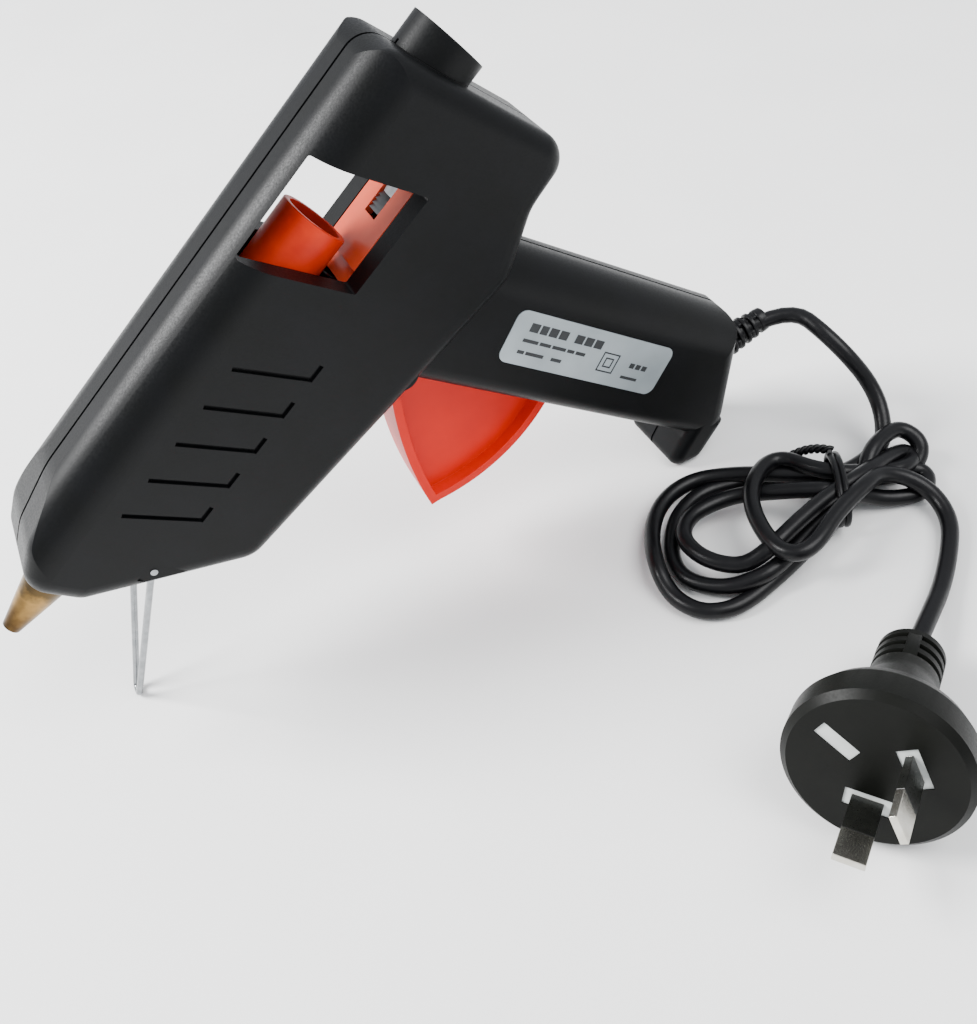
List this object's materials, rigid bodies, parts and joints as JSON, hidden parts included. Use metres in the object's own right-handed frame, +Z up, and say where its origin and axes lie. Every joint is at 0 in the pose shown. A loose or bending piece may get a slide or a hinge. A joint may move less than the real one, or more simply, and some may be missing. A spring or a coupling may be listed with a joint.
{
  "type": "hot-melt glue gun",
  "caption": "Trigger-fed hot-melt glue gun standing on its toe and wire stand, with window, label, tied cord and flat-pin mains plug.",
  "frame": {"origin": "centre of the footprint of the gun without its cord, on the bench it stands on", "axes": "+Z up; the nozzle points to -X and down; -Y is the side with the rating label; +X is the handle end"},
  "size_m": [0.2321, 0.154, 0.1396],
  "materials": {
    "black_shell": "fine satin moulding",
    "label_foil": "satin silver-grey film",
    "zinc_screw": "zinc plated",
    "nozzle_brass": "turned",
    "bright_wire": "bright drawn wire",
    "steel_pin": "ground",
    "spring_steel": "spring wire",
    "die_cast_aluminium": "die cast",
    "ptc_ceramic": "sintered ceramic",
    "polyimide_film": "amber film",
    "silicone_orange": "moulded silicone",
    "trigger_orange": "moulded",
    "carriage_pink": "moulded, glossy",
    "cord_pvc": "soft PVC",
    "lead_insulation": "silicone rubber",
    "crimp_nylon": "nylon",
    "plug_black": "moulded PVC",
    "carrier_grey": "moulded",
    "plug_brass": "bright",
    "pin_sleeve_black": "moulded"
  },
  "bodies": {
    "housing": {"left_shell": "black_shell", "right_shell": "black_shell", "shell_screws": "zinc_screw", "rating_label": "label_foil", "nozzle": "nozzle_brass", "check_ball": "steel_pin", "check_spring": "spring_steel", "melt_chamber": "die_cast_aluminium", "heater_element": "ptc_ceramic", "heater_insulation": "polyimide_film", "heater_clamp_spring": "spring_steel", "inlet_sleeve": "silicone_orange", "sleeve_clamp": "zinc_screw", "trigger_pivot_pin": "steel_pin", "return_spring": "spring_steel", "inner_cord": "cord_pvc", "cord_clamp": "black_shell", "clamp_screws": "zinc_screw", "cord_cores": "lead_insulation", "crimp_connectors": "crimp_nylon", "lead_wires": "lead_insulation", "strain_relief": "cord_pvc", "cord_lead": "cord_pvc", "cord_tail": "cord_pvc", "cord_hank": "cord_pvc", "cord_tie": "plug_black", "plug_body": "plug_black", "pin_carrier": "carrier_grey", "plug_blades": "plug_brass", "blade_sleeves": "pin_sleeve_black"},
    "trigger": {"trigger": "trigger_orange", "drive_pin": "steel_pin"},
    "carriage": {"feed_carriage": "carriage_pink", "jaw_pin": "steel_pin"},
    "jaw": {"gripper_jaw": "steel_pin"},
    "stand": {"wire_stand": "bright_wire"}
  },
  "joints": [
    {"name": "trigger_pull", "type": "hinge", "parent": "housing", "child": "trigger", "pos_m": [0.00659, 0, 0.07099], "axis": [0, -1, 0], "range_deg": [0, 25], "stiffness_Nm_per_rad": 1, "springref_deg": -8.59},
    {"name": "feed_slide", "type": "slide", "parent": "housing", "child": "carriage", "axis": [-0.8211, 0, -0.5707], "range_m": [0, 0.0067], "deforming": ["return_spring"]},
    {"name": "jaw_grip", "type": "hinge", "parent": "carriage", "child": "jaw", "pos_m": [0.02239, 0, 0.10608], "axis": [0, 1, 0], "range_deg": [0, 32.5]},
    {"name": "stand_fold", "type": "hinge", "parent": "housing", "child": "stand", "pos_m": [-0.0611, 0, 0.04854], "axis": [0, -1, 0], "range_deg": [0, 72]}
  ],
  "couplings": [
    {"joint": "feed_slide", "follows": "trigger_pull", "m_per_rad": 0.0152},
    {"joint": "jaw_grip", "follows": "trigger_pull", "ratio": 1.3}
  ]
}
